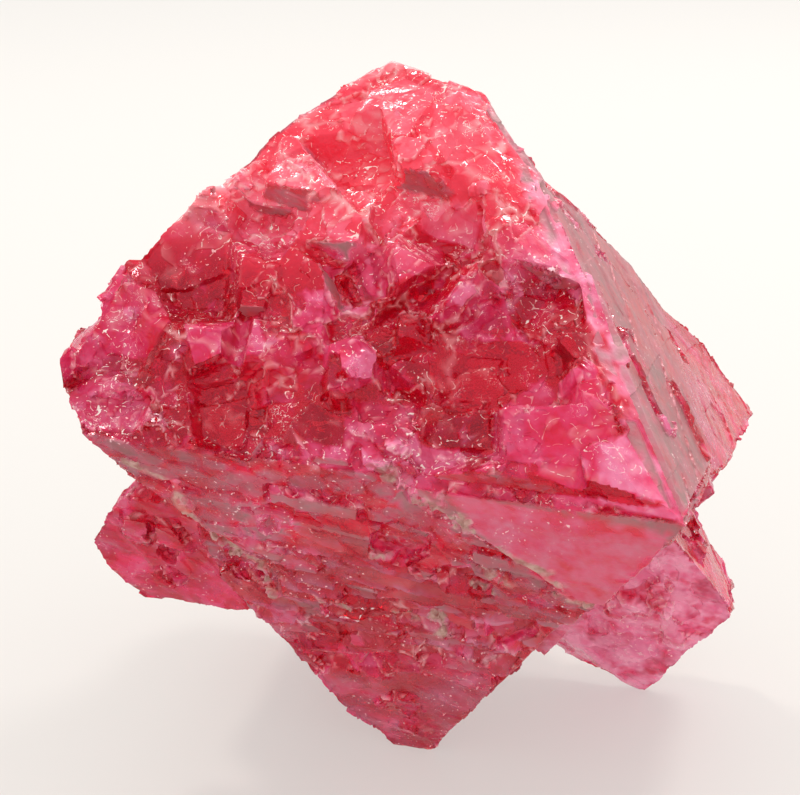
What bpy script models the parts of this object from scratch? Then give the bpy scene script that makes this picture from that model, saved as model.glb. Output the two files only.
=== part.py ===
"""Spinel crystal: a cluster of red octahedral crystals grown together as one solid.

A thick tabular octahedron stands on a lower tip. Four more crystals in the same
orientation grow out of its sides and back, and three of the tips carry the weight.
Every flat face belongs to the octahedron, so each crystal is a block sliced by its
eight face planes. Chunks, ledges and chips are then joined to it or cut from it.
"""
import math
import random

import bmesh
import bpy
from mathutils import Euler, Vector

MM = 0.001

# Driving dimensions, in millimetres and degrees
crystalHeight = 29.5        # from the table to the point all plane distances start at
centreAcross = -3.07        # where that point lies over the table
centreBehind = -2.68
crystalLean = (4.8, -6.3, 208.8)    # turns the four-fold axis from upright to its resting lean
blankSize = 140.0           # the block that every crystal is sliced from
seedNumber = 42
rootDepth = 1.2             # how deep every chunk is rooted in its crystal
pitClearance = 4.5          # how far a pit's block stands proud, to clear the chunks beside it
spotAttempts = 1500         # tries at finding the seeded spots on a face

# The eight octahedral faces, as signs along the crystal's three four-fold axes
faceSigns = {
    "upperFront": (1, 1, 1), "lowerFront": (1, 1, -1),
    "upperRight": (-1, 1, 1), "lowerRight": (-1, 1, -1),
    "upperLeft": (1, -1, 1), "lowerLeft": (1, -1, -1),
    "upperBack": (-1, -1, 1), "lowerBack": (-1, -1, -1),
}
faceOrder = list(faceSigns)

# Distance of each face from the cluster's centre, in the order of faceOrder
crystalFaces = {
    "tablet": (13.6, 15.0, 18.6, 20.1, 18.4, 15.2, 17.1, -0.6),
    "core": (13.2, 14.1, 17.6, 19.6, 18.0, 16.8, 17.5, 20.2),
    "rightCrystal": (9.0, 4.5, 17.8, 21.8, 13.5, 4.5, 18.2, 22.3),
    "leftFoot": (4.0, 12.6, 4.7, 12.0, 10.5, 24.6, 9.1, 7.1),
    "rightFoot": (3.6, 1.2, 11.3, 30.5, 1.4, 5.5, 7.1, 30.2),
    "heel": (1.4, 3.4, 1.8, 9.6, 9.3, 24.2, 13.1, 31.1),
    "lip": (13.4, 15.5, 18.3, 20.6, 4.2, 15.4, 9.4, 0.4),
}

# Broken ends: compass angle and elevation of the break's normal, and its distance
breaks = {
    "tablet": ((161, 64, 23.3), (21, 66, 23.1), (5, 35, 18.0), (-164, 3, 25.4),
               (-154, -48, 15.7), (-149, -53, 15.0)),
    "core": ((158, 63, 22.7), (22, 67, 22.8), (6, 36, 17.7), (-174, -12, 16.3), (-123, -55, 24.9)),
    "rightCrystal": ((161, 64, 21.0), (21, 66, 21.6), (9, 45, 19.3), (3, 35, 20.8)),
    "leftFoot": ((177, 28, 15.3),),
    "rightFoot": ((-132, -44, 6.2), (-12, 13, 20.5)),
    "heel": (),
    "lip": ((-168, -54, 1.9), (-116, -68, 11.5)),
}

# Chunks standing on the upper front face: across, up, radius, height, lean right, lean up
frontChunks = (
    (0.5, 15.5, 5.2, 1.5, -6, 8), (6.0, 13.4, 4.2, 1.2, 16, 4), (-5.7, 9.9, 3.6, 2.0, -8, 12),
    (-11.6, 5.4, 4.2, 1.7, -6, 14), (2.3, 4.2, 3.1, 1.8, 4, 6), (7.5, 1.5, 3.3, 2.1, 6, -6),
    (11.0, 6.2, 3.8, 1.6, 10, -10), (8.2, 10.0, 3.2, 1.5, 12, -4), (-3.2, 6.6, 3.0, 1.4, -4, 6),
    (-4.2, 0.2, 3.6, 1.3, -5, -8), (-5.4, -4.0, 2.6, 1.4, 8, 5), (-14.6, -3.2, 4.4, 1.0, -12, 0),
    (-18.2, -7.6, 3.2, 0.9, -10, -6), (-10.4, -3.6, 2.4, 1.8, 0, -12), (0.4, -4.2, 2.4, 1.5, -8, 3),
    (8.6, -10.4, 2.4, 1.4, 0, -14), (14.6, -7.6, 4.8, 1.4, 6, -8), (20.2, -9.9, 3.6, 1.2, 12, -5),
    (14.6, -3.4, 3.4, 1.3, 8, 4), (17.2, -0.6, 2.6, 1.2, 16, 8), (4.0, -9.4, 2.8, 1.0, -6, -8),
    (-0.6, -9.2, 2.6, 1.1, 3, -12), (12.6, 8.6, 2.6, 1.3, 20, 0), (-8.4, 1.2, 2.4, 1.5, -6, -4),
    (-10.8, 9.2, 1.0, 2.0, 0, 10), (-12.6, 7.8, 1.5, 2.0, -10, 12), (-9.6, 10.2, 0.9, 1.9, 0, 8),
    (-12.4, -9.8, 0.9, 1.6, 0, 0), (-13.6, -9.0, 1.1, 1.5, 10, 0), (3.8, -1.0, 1.8, 1.7, -4, 8),
)

# Pits sunk in the upper front face: across, up, radius, depth, lean right, lean up
frontPits = (
    (-12.6, 1.9, 3.6, 0.9, -4, 18), (9.8, -2.9, 4.2, 1.2, 4, 8), (8.0, -7.0, 2.8, 1.1, -4, 6),
    (-7.4, -8.4, 3.4, 0.9, 6, 8), (12.2, 1.4, 2.8, 1.1, 8, -4), (3.2, -6.2, 2.2, 0.9, 0, -10),
    (-1.0, 2.6, 2.0, 0.8, 10, 6), (5.4, 6.9, 1.9, 0.9, -6, 8), (-15.4, -1.0, 1.5, 0.7, -4, 6),
    (-8.4, 6.2, 1.8, 0.8, 6, -8), (-2.6, 11.6, 2.8, 0.9, 10, -14),
)

# Pits sunk in the lower front face, in the same order
lowerPits = (
    (-8.4, -4.8, 2.4, 1.5, 8, 12), (-5.3, 2.1, 1.2, 0.5, 0, -14), (4.2, 1.6, 2.2, 0.8, 6, 10),
    (8.4, -1.6, 2.0, 1.0, -4, 14), (0.2, -5.4, 1.7, 0.8, 8, 16), (5.6, -6.2, 1.6, 0.7, -10, 12),
    (-3.6, -9.6, 1.5, 0.6, 10, 8), (2.4, -12.8, 1.6, 0.5, -6, 8),
)

# Growth ledges: crystal, face, count, turn, highest and lowest row, half length, half width, height
ledgeRows = (
    ("core", "lowerFront", 16, 0, -5.0, -15.5, 3.2, 1.0, 0.75),
    ("tablet", "lowerFront", 4, -8, 5.5, -1.0, 4.6, 1.1, 0.35),
    ("tablet", "upperRight", 4, 58, 3.0, -12.0, 4.4, 0.9, 0.4),
    ("core", "lowerBack", 6, 10, 8.0, -8.0, 4.6, 1.4, 0.8),
    ("rightCrystal", "upperBack", 3, 60, 6.0, -6.0, 3.6, 1.1, 0.6),
    ("rightFoot", "lowerFront", 3, 0, -6.0, -14.0, 2.6, 0.9, 0.5),
)

# Seeded roughness of each face: chunks, pits, smallest and largest radius, height
roughFaces = (
    ("tablet", "upperFront", 34, 4, 1.0, 2.6, 1.5),
    ("core", "lowerFront", 8, 3, 0.8, 1.7, 0.5),
    ("core", "upperBack", 8, 4, 1.6, 3.2, 0.9),
    ("core", "lowerBack", 9, 4, 1.6, 3.6, 0.8),
    ("core", "lowerLeft", 6, 3, 1.4, 2.6, 0.4),
    ("tablet", "upperLeft", 6, 2, 1.4, 2.8, 0.7),
    ("core", "lowerRight", 4, 2, 1.0, 2.0, 0.35),
    ("rightCrystal", "upperRight", 3, 1, 0.9, 1.8, 0.4),
    ("rightCrystal", "upperBack", 4, 2, 1.2, 2.2, 0.6),
    ("rightFoot", "lowerFront", 7, 2, 0.9, 1.8, 0.6),
    ("rightFoot", "upperRight", 3, 1, 0.9, 1.6, 0.5),
    ("leftFoot", "lowerFront", 4, 1, 0.9, 1.8, 0.5),
    ("heel", "lowerLeft", 3, 1, 1.2, 2.2, 0.6),
    ("heel", "upperBack", 3, 1, 1.2, 2.2, 0.6),
)

lean = Euler([math.radians(angle) for angle in crystalLean]).to_matrix()
centre = Vector((centreAcross, centreBehind, crystalHeight)) * MM


def clearScene():
    for item in list(bpy.data.objects):
        bpy.data.objects.remove(item, do_unlink=True)


def faceAxes(name):
    """Normal, across and up directions of an octahedral face, seen from outside."""
    signs = Vector(faceSigns[name])
    normal = signs.normalized()
    upright = Vector((0, 0, 1))
    up = (upright - normal * upright.dot(normal)).normalized()
    across = up.cross(normal)
    return lean @ normal, lean @ across, lean @ up


def breakNormal(compass, elevation):
    flat = math.cos(math.radians(elevation))
    return Vector((math.cos(math.radians(compass)) * flat,
                   math.sin(math.radians(compass)) * flat,
                   math.sin(math.radians(elevation))))


def crystalPlanes(name):
    """Every plane that bounds a crystal, as a normal and a distance in metres."""
    planes = [(faceAxes(face)[0], distance * MM) for face, distance in zip(faceOrder, crystalFaces[name])]
    planes += [(breakNormal(compass, elevation), distance * MM)
               for compass, elevation, distance in breaks[name]]
    planes.append((Vector((0, 0, -1)), crystalHeight * MM))
    return planes


def sliceOff(bm, point, normal):
    """Cut away what lies beyond a plane and close the cut with one flat face."""
    geometry = bm.verts[:] + bm.edges[:] + bm.faces[:]
    cut = bmesh.ops.bisect_plane(bm, geom=geometry, dist=1e-8, plane_co=point, plane_no=normal,
                                 clear_outer=True)
    rim = [item for item in cut["geom_cut"] if isinstance(item, bmesh.types.BMEdge)]
    if rim:
        bmesh.ops.contextual_create(bm, geom=rim)


def convexBlock(planes, middle, size):
    """The block that is left of a cube after slicing it by every plane, as a mesh."""
    block = bmesh.new()
    bmesh.ops.create_cube(block, size=size)
    bmesh.ops.translate(block, verts=block.verts, vec=middle)
    for point, normal in planes:
        sliceOff(block, point, normal)
    bmesh.ops.recalc_face_normals(block, faces=block.faces)
    bmesh.ops.triangulate(block, faces=block.faces)
    mesh = bpy.data.meshes.new("block")
    block.to_mesh(mesh)
    block.free()
    return mesh


def addToBatch(batches, block):
    """Put a block with others that it doesn't meet, because one Boolean takes only separate bodies."""
    if not block.vertices:
        return      # the spot lies off its crystal, so nothing of the block is left
    middle = sum((point.co for point in block.vertices), Vector()) / len(block.vertices)
    reach = max((point.co - middle).length for point in block.vertices)
    for bm, placed in batches:
        if all((middle - other).length > reach + otherReach for other, otherReach in placed):
            break
    else:
        bm, placed = bmesh.new(), []
        batches.append((bm, placed))
    placed.append((middle, reach))
    bm.from_mesh(block)
    bpy.data.meshes.remove(block)


def crystalBlock(name):
    planes = [(centre + normal * distance, normal) for normal, distance in crystalPlanes(name)]
    return convexBlock(planes, centre, blankSize * MM)


def brokenBlock(rng, host, face, spot, radius, height, leanRight, leanUp):
    """A broken lump with one leaning flat top and a few sloping sides, or a pit of that shape.

    It is trimmed just inside the host crystal's other faces, so nothing overhangs an edge.
    """
    normal, across, up = faceAxes(face)
    outward = normal if height > 0 else -normal
    reach = abs(height)
    top = outward + across * math.tan(math.radians(leanRight)) + up * math.tan(math.radians(leanUp))
    planes = [(spot + outward * reach, top.normalized())]
    behind = radius * 0.5 + rootDepth * MM if height > 0 else pitClearance * MM
    planes.append((spot - outward * behind, -outward))
    sides = rng.choice((4, 5, 5, 6))
    start = rng.uniform(0, 360)
    longWay = rng.uniform(0, math.pi)
    for side in range(sides):
        turn = math.radians(start + side * 360 / sides + rng.uniform(-20, 20))
        slope = math.radians(rng.uniform(8, 50))
        sideways = across * math.cos(turn) + up * math.sin(turn)
        edge = radius * rng.uniform(0.6, 0.9) * (1 + 0.35 * abs(math.cos(turn - longWay)))
        tilted = sideways * math.cos(slope) + outward * math.sin(slope)
        planes.append((spot + sideways * edge, tilted))
    if height > 0:
        for side, distance in crystalPlanes(host):
            if side.dot(normal) < 0.999:
                inset = rng.uniform(0.05, 0.3) * MM
                planes.append((centre + side * (distance - inset), side))
    return convexBlock(planes, spot, radius * 6 + (reach + pitClearance * MM) * 2)


def ledgeBlock(rng, host, face, spot, turn, halfLength, halfWidth, height):
    """A thin slab that runs across a face, steep on its lower side and shallow on its upper."""
    normal, across, up = faceAxes(face)
    along = across * math.cos(turn) + up * math.sin(turn)
    uphill = up * math.cos(turn) - across * math.sin(turn)
    planes = [(spot + normal * height, (normal + uphill * 0.06).normalized()),
              (spot - normal * rootDepth * MM, -normal)]
    for sideways, edge, slope in ((along, halfLength, 38), (-along, halfLength, 30),
                                  (uphill, halfWidth, 62), (-uphill, halfWidth, 16)):
        lift = math.radians(slope)
        planes.append((spot + sideways * edge, sideways * math.cos(lift) + normal * math.sin(lift)))
    for side, distance in crystalPlanes(host):
        if side.dot(normal) < 0.999:
            planes.append((centre + side * (distance - rng.uniform(0.05, 0.3) * MM), side))
    return convexBlock(planes, spot, halfLength * 6)


def faceSpot(face, distance, across, up):
    normal, rightward, upward = faceAxes(face)
    return centre + normal * distance * MM + rightward * across * MM + upward * up * MM


def spotsOn(rng, crystal, face, count, margin):
    """Seeded spots on a crystal's face, clear of its edges and not buried in another crystal."""
    others = [crystalPlanes(other) for other in crystalFaces if other != crystal]
    own = crystalFaces[crystal][faceOrder.index(face)]
    planes = crystalPlanes(crystal)
    normal = faceAxes(face)[0]
    spots = []
    for attempt in range(spotAttempts):
        spot = faceSpot(face, own, rng.uniform(-30, 30), rng.uniform(-30, 30))
        fromCentre = spot - centre
        inside = all(fromCentre.dot(side) < reach - margin * MM
                     for side, reach in planes if side.dot(normal) < 0.999)
        buried = any(all(fromCentre.dot(side) < reach + margin * MM for side, reach in other)
                     for other in others)
        if inside and not buried and len(spots) < count:
            spots.append(spot)
    return spots


def addFrontRelief(rng, chunks, pits):
    """The chunks and pits that have their own place on the two front faces."""
    upper = crystalFaces["tablet"][faceOrder.index("upperFront")]
    lower = crystalFaces["tablet"][faceOrder.index("lowerFront")]
    for batches, sign, face, distance, rows in (
            (chunks, 1, "upperFront", upper, frontChunks),
            (pits, -1, "upperFront", upper, frontPits),
            (pits, -1, "lowerFront", lower, lowerPits)):
        for across, up, radius, height, leanRight, leanUp in rows:
            spot = faceSpot(face, distance, across, up)
            addToBatch(batches, brokenBlock(rng, "tablet", face, spot, radius * MM,
                                            sign * height * MM, leanRight, leanUp))


def addLedges(rng, chunks):
    """Rows of thin slabs where a face grew in steps."""
    for name, face, count, turn, highest, lowest, halfLength, halfWidth, height in ledgeRows:
        own = crystalFaces[name][faceOrder.index(face)]
        for row in range(count):
            up = highest + (lowest - highest) * row / max(count - 1, 1)
            spot = faceSpot(face, own, rng.uniform(-0.9, 0.9) * (16 + up * 0.5), up)
            addToBatch(chunks, ledgeBlock(rng, name, face, spot, math.radians(turn + rng.uniform(-9, 9)),
                                          halfLength * rng.uniform(0.6, 1.3) * MM,
                                          halfWidth * rng.uniform(0.7, 1.2) * MM,
                                          height * rng.uniform(0.6, 1.2) * MM))


def addRoughness(rng, chunks, pits):
    """Seeded chunks and pits over the faces of every crystal."""
    for name, face, chunkCount, pitCount, smallest, largest, height in roughFaces:
        for batches, count, low, high in ((chunks, chunkCount, 0.5, 1.1), (pits, pitCount, -0.9, -0.4)):
            for spot in spotsOn(rng, name, face, count, 1.5):
                addToBatch(batches, brokenBlock(rng, name, face, spot,
                                                rng.uniform(smallest, largest) * MM,
                                                height * rng.uniform(low, high) * MM,
                                                rng.uniform(-18, 18), rng.uniform(-18, 18)))


def makeObject(name, mesh, collection):
    mesh.name = name
    item = bpy.data.objects.new(name, mesh)
    collection.objects.link(item)
    return item


def batchObject(name, bm, collection):
    mesh = bpy.data.meshes.new(name)
    bm.to_mesh(mesh)
    bm.free()
    return makeObject(name, mesh, collection)


def crystalMaterial():
    material = bpy.data.materials.new("spinel")
    material.use_nodes = True
    shader = material.node_tree.nodes["Principled BSDF"]
    shader.inputs["Base Color"].default_value = (0.72, 0.06, 0.14, 1)
    shader.inputs["Roughness"].default_value = 0.25
    shader.inputs["Metallic"].default_value = 0.0
    shader.inputs["IOR"].default_value = 1.72
    material.diffuse_color = (0.72, 0.06, 0.14, 1)
    return material


def boolean(target, tool, operation):
    modifier = target.modifiers.new(operation.lower() + " " + tool.name, "BOOLEAN")
    modifier.object = tool
    modifier.operation = operation
    modifier.solver = "EXACT"
    tool.hide_render = True
    tool.display_type = "WIRE"


def main():
    clearScene()
    parts = bpy.data.collections.new("spinelCrystal")
    cutters = bpy.data.collections.new("cutters")
    bpy.context.scene.collection.children.link(parts)
    bpy.context.scene.collection.children.link(cutters)

    crystal = makeObject("spinel_crystal", crystalBlock("core"), parts)
    crystal.data.materials.append(crystalMaterial())
    for name in crystalFaces:
        if name != "core":
            boolean(crystal, makeObject(name, crystalBlock(name), cutters), "UNION")

    chunks = []
    pits = []
    addFrontRelief(random.Random(seedNumber), chunks, pits)
    addLedges(random.Random(seedNumber + 1), chunks)
    addRoughness(random.Random(seedNumber + 2), chunks, pits)
    for number, (bm, placed) in enumerate(chunks):
        boolean(crystal, batchObject("chunks" + str(number), bm, cutters), "UNION")
    for number, (bm, placed) in enumerate(pits):
        boolean(crystal, batchObject("pits" + str(number), bm, cutters), "DIFFERENCE")


main()
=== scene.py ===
import itertools
import math

import bmesh
import bpy
import numpy as np
from mathutils import Euler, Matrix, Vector, kdtree


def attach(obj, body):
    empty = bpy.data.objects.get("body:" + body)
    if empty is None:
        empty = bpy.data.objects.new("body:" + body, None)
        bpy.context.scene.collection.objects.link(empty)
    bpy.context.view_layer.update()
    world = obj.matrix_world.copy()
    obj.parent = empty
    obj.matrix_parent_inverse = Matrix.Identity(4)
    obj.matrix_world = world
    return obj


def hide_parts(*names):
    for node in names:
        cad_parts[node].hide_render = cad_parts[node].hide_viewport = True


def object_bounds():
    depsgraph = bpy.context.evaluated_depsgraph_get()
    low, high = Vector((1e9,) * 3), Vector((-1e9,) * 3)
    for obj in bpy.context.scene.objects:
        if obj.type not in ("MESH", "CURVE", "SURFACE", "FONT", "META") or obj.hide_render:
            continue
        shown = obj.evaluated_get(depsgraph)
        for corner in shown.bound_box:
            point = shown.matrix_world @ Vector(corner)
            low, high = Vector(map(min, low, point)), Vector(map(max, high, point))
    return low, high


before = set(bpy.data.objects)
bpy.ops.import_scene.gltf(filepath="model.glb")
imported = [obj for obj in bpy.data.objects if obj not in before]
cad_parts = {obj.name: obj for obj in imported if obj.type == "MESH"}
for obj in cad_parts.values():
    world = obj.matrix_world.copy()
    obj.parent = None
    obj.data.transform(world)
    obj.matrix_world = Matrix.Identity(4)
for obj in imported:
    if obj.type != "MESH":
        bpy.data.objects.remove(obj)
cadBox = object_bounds()
print("frame loaded")

mm = 0.001

view = {
    "aim": (-3.07, -2.68, 29.5),     # the point looked at, mm
    "elevation": 20.0,
    "distance": 135.2,               # mm
    "focal": 81.135,
}


def makeCamera():
    rise = math.radians(view["elevation"])
    camera = bpy.data.objects.new("camera", bpy.data.cameras.new("camera"))
    camera.data.sensor_width = 36.0
    camera.data.lens = view["focal"]
    camera.data.clip_start = 0.005
    camera.data.clip_end = 20.0
    aim = Vector(view["aim"]) * mm
    camera.location = aim + Vector((0, -math.cos(rise), math.sin(rise))) * view["distance"] * mm
    camera.rotation_euler = (math.pi / 2 - rise, 0, 0)
    bpy.context.scene.collection.objects.link(camera)
    bpy.context.scene.camera = camera


makeCamera()
print("camera placed")

lean = np.array(Euler([math.radians(a) for a in (4.8, -6.3, 208.8)]).to_matrix())
crystalCentre = np.array((-3.07, -2.68, 29.5))

# the eight octahedral directions
faceSigns = {
    "upperFront": (1, 1, 1), "lowerFront": (1, 1, -1), "upperRight": (-1, 1, 1), "lowerRight": (-1, 1, -1),
    "upperLeft": (1, -1, 1), "lowerLeft": (1, -1, -1), "upperBack": (-1, -1, 1), "lowerBack": (-1, -1, -1),
}

relief = {
    "fineVoxel": 0.15,        # mm, the grid that fuses everything
    "triangles": 194000,
    "seed": 11,
    "warp": 0.45,             # mm, how much the borders between pieces wander
    "plateSize": 4.6,         # mm, fracture plates, blocks and chips: size and step between them
    "plateStep": 0.20,
    "blockSize": 2.0,
    "blockStep": 0.12,
    "chipSize": 0.85,
    "chipStep": 0.03,
    "tilt": 0.75,
    "dome": 0.30,
    "rippleStep": 0.03,       # mm, curved shell steps inside a block
    "rimLift": 0.05,          # mm, thin raised rims along some borders
    "growthStep": 0.11,       # mm, straight steps on grown faces
    "flakeSize": 1.5,         # mm, flat flakes on grown faces
    "flakeStep": 0.15,
    "shingleSize": 1.25,      # mm, the flaky ledges low on the front
    "shingleStep": 0.24,
    "bevel": 0.75,            # mm, how much of the ridge to the right of the broken face is worn off
    "crustLift": 0.06,        # mm, host rock standing on the face
}

# single cleavage surfaces: face, depth of colour, clearness, how flat, and corners as across, up in mm
patches = (
    ("upperFront", 0.08, 0.95, 0.35, ((2.5, -0.7), (5.6, -0.5), (12.2, 0.7), (15.6, 0.7), (15.8, -2.2), (10.4, -4.3),
                                      (5.2, -5.5))),
    ("upperFront", 0.10, 0.95, 0.35, ((9.7, 2.7), (12.1, 3.4), (15.3, 2.6), (15.5, 1.4), (10.2, 0.8))),
    ("upperFront", 0.12, 0.95, 0.30, ((-6.7, 4.6), (-2.2, 4.4), (-1.1, 1.5), (-5.4, 0.6))),
    ("upperFront", 0.12, 0.95, 0.40, ((-9.6, 2.8), (-6.4, 3.6), (-5.4, 0.8), (-9.0, 0.4))),
    ("upperFront", 0.28, 0.75, 0.30, ((-8.3, -2.3), (-2.1, -2.3), (-1.8, -5.5), (-6.8, -6.9))),
    ("upperFront", 0.48, 0.70, 0.30, ((0.5, -6.1), (4.4, -5.6), (5.2, -9.0), (1.3, -9.7))),
    ("upperFront", 0.62, 0.60, 0.40, ((10.1, -5.2), (12.8, -2.6), (14.2, -4.3), (14.0, -9.4), (10.6, -8.8))),
    ("upperFront", 0.60, 0.55, 0.40, ((-21.0, -4.9), (-18.5, -0.7), (-16.7, -2.1), (-18.0, -5.3), (-19.7, -7.1))),
    ("upperFront", 0.48, 0.65, 0.50, ((-19.4, -8.2), (-17.0, -6.0), (-13.5, -7.8), (-12.9, -10.0), (-17.3, -10.2))),
    ("upperFront", 0.10, 1.00, 0.9, ((-18.0, 2.4), (-15.9, 3.6), (-10.1, 4.8), (-10.1, 2.6), (-12.8, 0.7),
                                     (-15.6, -0.1))),
    ("upperFront", 0.42, 0.90, 0.8, ((-15.1, 5.8), (-11.2, 6.7), (-10.1, 5.0), (-16.5, 3.1))),
    ("upperFront", 0.30, 0.60, 0.9, ((-18.3, -3.4), (-16.9, -0.3), (-14.4, -0.2), (-12.9, -2.4), (-14.4, -4.7),
                                     (-17.2, -4.6))),
    ("upperFront", 0.05, 1.00, 0.9, ((-10.8, -7.7), (-6.9, -6.6), (-6.4, -10.1), (-9.8, -10.1))),
    ("upperFront", 0.05, 1.00, 0.9, ((-5.2, -7.1), (0.6, -6.1), (1.0, -9.8), (-4.9, -9.9))),
    ("upperFront", 0.00, 1.00, 0.9, ((4.8, -6.0), (9.5, -5.0), (10.4, -7.9), (5.7, -8.4))),
    ("upperFront", 0.05, 0.95, 0.8, ((4.7, -1.5), (9.9, -1.5), (9.5, -4.6), (6.1, -4.6))),
    ("upperFront", 0.10, 0.95, 0.8, ((12.3, 0.4), (15.5, 1.7), (16.3, -1.3), (13.3, -2.5))),
    ("upperFront", 0.55, 0.60, 0.9, ((14.2, -4.3), (17.1, -2.7), (18.7, -6.7), (18.5, -11.3), (14.1, -10.1))),
    ("upperFront", 0.97, 0.45, 1.0, ((17.9, -7.9), (19.1, -6.4), (23.4, -11.6), (21.4, -11.4), (18.2, -11.3))),
    ("upperFront", 0.60, 0.60, 0.8, ((-5.8, 17.0), (-1.3, 19.6), (2.0, 17.6), (0.8, 13.4), (-4.5, 14.7))),
    ("upperFront", 0.15, 0.95, 0.8, ((-4.4, 14.4), (0.4, 12.5), (0.6, 10.7), (-3.4, 10.5), (-5.2, 12.8))),
    ("upperFront", 0.50, 0.70, 0.7, ((1.9, 16.6), (5.1, 15.9), (8.0, 11.9), (5.6, 10.1), (2.8, 12.7))),
    ("upperFront", 0.25, 0.95, 0.6, ((-10.6, 10.7), (-7.0, 16.6), (-5.5, 16.7), (-4.6, 12.9), (-7.2, 11.4),
                                     (-9.5, 9.1))),
    ("upperFront", 0.66, 0.55, 0.8, ((2.2, 9.4), (6.5, 9.4), (6.3, 6.7), (2.9, 7.0))),
    ("upperFront", 0.62, 0.55, 0.9, ((9.2, 4.5), (11.2, 8.6), (14.7, 5.2))),
    ("upperFront", 0.62, 0.55, 0.6, ((-12.0, -2.3), (-7.1, -0.8), (-5.7, -3.9), (-10.5, -5.4))),
    ("upperFront", 0.55, 0.70, 0.3, ((-0.3, 5.6), (4.2, 6.5), (5.5, 3.5), (2.2, 2.2), (-0.2, 3.6))),
    ("upperFront", 0.40, 0.85, 0.2, ((4.6, 1.8), (6.2, 3.7), (9.1, 3.0), (9.9, 0.2), (6.2, -0.2))),
    ("upperFront", 0.85, 0.60, 0.2, ((5.8, 1.5), (6.4, 2.5), (8.3, 2.0), (8.0, 0.9), (6.4, 0.8))),
    ("lowerFront", 0.05, 0.80, 0.0, ((-5.9, 3.7), (-3.7, 5.4), (-1.1, 3.1))),
    ("lowerFront", 0.05, 0.80, 0.0, ((-7.2, 3.6), (-6.4, 3.9), (-6.3, 3.0))),
    ("lowerFront", 0.08, 0.75, 0.0, ((-5.2, -1.9), (-3.6, 0.2), (-0.3, -3.2), (-2.0, -2.1))),
    ("lowerFront", 0.05, 0.75, 0.0, ((-1.8, -1.1), (-0.7, -0.8), (0.6, -2.2))),
    ("lowerFront", 0.08, 0.75, 0.0, ((5.4, -2.4), (6.7, -0.1), (9.0, 0.9), (9.4, -1.0), (6.4, -2.6))),
    ("lowerFront", 0.50, 0.55, 0.9, ((8.3, 8.8), (22.8, 7.5), (21.7, 4.0), (18.4, -1.8), (15.9, -1.5), (9.4, 5.6))),
)

# host rock along edges of the lower front face: width, then points as across, up in mm
crustLines = (
    (0.60, ((-15.0, 7.0), (-11.9, 5.6), (-10.8, 0.4), (-7.6, -5.0), (-6.4, -7.6))),
    (0.65, ((3.7, 9.6), (5.6, 8.4), (7.5, 6.7))),
    (0.45, ((11.3, 3.3), (14.2, 1.8), (15.9, -1.5), (18.2, -1.9))),
    (0.55, ((10.0, 0.6), (11.6, -0.9))),
    (0.40, ((-2.6, -6.6), (-1.0, -7.4))),
    (0.35, ((2.8, -6.9), (4.2, -7.8))),
)

# where small grains stand: face, across and up, mm, and how far they spread
grainSpots = (
    ("upperFront", -12.8, 7.3, 1.1), ("upperFront", -10.7, 8.6, 1.0), ("upperFront", -12.4, -9.1, 0.9),
    ("upperFront", -11.8, -4.6, 0.7), ("upperFront", 7.2, 2.1, 0.9), ("upperFront", 9.7, 3.2, 1.2),
    ("upperFront", 11.8, 4.9, 1.2), ("upperFront", 1.0, 6.5, 1.0), ("upperFront", 4.8, -9.9, 0.9),
    ("upperFront", -15.2, -7.3, 0.8), ("lowerFront", 5.7, -7.1, 1.0), ("lowerFront", 9.1, -1.6, 1.1),
    ("lowerFront", 6.2, -8.8, 0.8), ("lowerFront", 5.2, -1.3, 0.8), ("lowerFront", 6.8, 7.1, 1.3),
    ("lowerFront", 8.7, 5.4, 1.1), ("upperRight", -5.0, 7.6, 1.3), ("upperRight", -1.5, 5.1, 1.2),
    ("upperRight", 2.5, 2.6, 1.2),
)

# where the whole form bulges or is worn, beyond flat faces: place, movement and reach, mm
swells = (
    ((-11.7, -0.9, 48.5), (-0.36, 0.12, 0.34), 4.0), ((-17.1, -4.7, 43.6), (-0.90, 0.27, 0.78), 4.0),
    ((-20.0, -5.5, 40.4), (-1.05, 0.29, 0.86), 4.0), ((-23.0, -5.6, 37.9), (-0.70, 0.20, 0.62), 3.5),
    ((-23.8, -5.6, 35.5), (-1.30, 0.45, 1.22), 3.6), ((-25.2, -11.5, 32.5), (-1.12, 0.00, 0.00), 3.5),
    ((-24.5, -14.2, 30.8), (0.41, 0.09, 0.26), 2.5), ((-6.8, 3.6, 52.6), (0.59, -0.23, -0.62), 4.5),
    ((-3.8, 3.3, 54.1), (0.00, -0.23, -0.62), 4.0), ((-1.6, 1.8, 53.7), (0.00, -0.15, -0.41), 3.0),
    ((6.7, 0.7, 46.4), (-0.44, -0.08, -0.21), 4.0), ((11.7, 5.3, 41.0), (-0.31, -0.05, -0.14), 3.0),
    ((18.3, 9.7, 33.2), (-0.65, -0.08, -0.23), 4.0), ((20.2, -8.6, 25.3), (-0.87, 0.10, 0.27), 3.0),
    ((24.5, 6.4, 11.6), (-0.91, 0.00, 0.00), 4.0), ((-23.7, -3.8, 15.9), (-0.85, -0.13, -0.36), 3.5),
    ((-17.3, -4.5, 13.7), (-0.23, -0.16, -0.43), 3.5), ((-7.1, -4.4, 5.1), (-0.47, -0.11, -0.30), 3.5),
    ((25.5, 10.8, 22.5), (0.45, 0.09, 0.20), 3.0), ((21.2, 11.1, 29.3), (0.41, 0.06, 0.15), 3.0),
)

# white broken crumbs along the top edges, with painted highlight where the back light blows them out: place and
# reach, mm
blownOutCrumbs = (
    ((-17.0, -5.0, 44.4), 1.5), ((-15.4, -4.2, 45.6), 0.9), ((-3.4, 2.4, 54.2), 1.1), ((-6.0, 2.8, 53.4), 0.9),
    ((-1.0, 2.2, 53.2), 0.9), ((-9.6, 0.6, 50.0), 0.8),
)

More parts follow.
